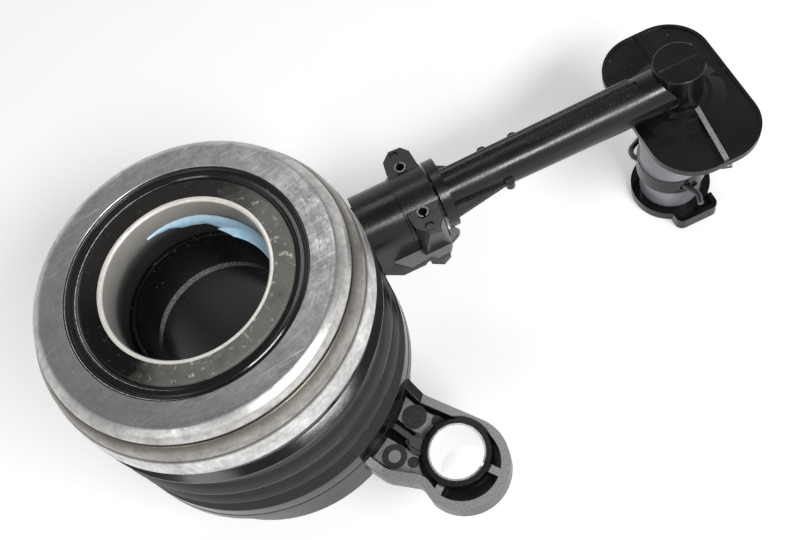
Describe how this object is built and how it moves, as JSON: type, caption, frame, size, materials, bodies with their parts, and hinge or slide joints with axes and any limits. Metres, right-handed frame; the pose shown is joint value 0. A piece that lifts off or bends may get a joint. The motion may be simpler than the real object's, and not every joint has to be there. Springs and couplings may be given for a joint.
{
  "type": "concentric clutch actuator",
  "caption": "Ring-shaped hydraulic clutch release unit: thrust bearing on a sprung piston in a moulded housing, with mounting ears and a side feed tube.",
  "frame": {"origin": "centre of the shaft bore at the gearbox mounting face", "axes": "+Z along the shaft bore towards the clutch, +X along the feed tube away from the housing"},
  "size_m": [0.1508, 0.0882, 0.0786],
  "materials": {
    "ball_steel": "plain",
    "bearing_seal_rubber": "plain",
    "boot_rubber": "smooth dark rubber",
    "cage_plastic": "plain",
    "clip_steel": "plain",
    "connector_plastic": "plain",
    "housing_plastic": "moulded, glass filled, satin",
    "inner_ring_steel": "plain",
    "line_plastic": "plain",
    "outer_ring_steel": "ground face with fine scratches",
    "pin_steel": "plain",
    "piston_plastic": "plain",
    "plug_plastic": "plain",
    "seal_rubber": "plain",
    "shell_steel": "plain",
    "sleeve_plate_steel": "plain",
    "sleeve_steel": "plain",
    "spring_steel": "plain",
    "tube_steel": "plain"
  },
  "bodies": {
    "fixed_unit": {"housing": "housing_plastic", "guide_tube": "tube_steel", "ear_sleeves": "sleeve_steel", "foot_seal": "seal_rubber", "hydraulic_tube": "line_plastic", "spigot_seal": "seal_rubber", "roll_pins": "pin_steel", "connector_body": "connector_plastic", "connector_seal": "seal_rubber", "dust_plug": "plug_plastic"},
    "thrust_carrier": {"piston": "piston_plastic", "piston_seal": "seal_rubber", "thrust_sleeve": "sleeve_plate_steel", "spring_seat": "spring_steel", "preload_spring": "spring_steel", "boot": "boot_rubber", "bearing_inner_ring": "inner_ring_steel"},
    "bearing_outer": {"bearing_outer_ring": "outer_ring_steel", "bearing_shell": "shell_steel", "front_seal": "bearing_seal_rubber", "rear_seal": "bearing_seal_rubber"},
    "ball_set": {"ball_cage": "cage_plastic", "bearing_balls": "ball_steel"},
    "release_clip": {"wire_clip": "clip_steel"}
  },
  "joints": [
    {"name": "release_travel", "type": "slide", "parent": "fixed_unit", "child": "thrust_carrier", "axis": [0, 0, 1], "range_m": [-0.01, 0], "stiffness_N_per_m": 2000, "springref_m": 0.015, "deforming": ["preload_spring", "boot"]},
    {"name": "bearing_spin", "type": "hinge", "parent": "thrust_carrier", "child": "bearing_outer", "pos_m": [0, 0, 0.0498], "axis": [0, 0, 1], "continuous": true},
    {"name": "ball_spin", "type": "hinge", "parent": "thrust_carrier", "child": "ball_set", "pos_m": [0, 0, 0.0498], "axis": [0, 0, 1], "continuous": true},
    {"name": "clip_pull", "type": "slide", "parent": "fixed_unit", "child": "release_clip", "axis": [-0.4384, 0.8988, 0], "range_m": [0, 0.003]}
  ],
  "couplings": [
    {"joint": "ball_spin", "follows": "bearing_spin", "ratio": 0.572}
  ]
}
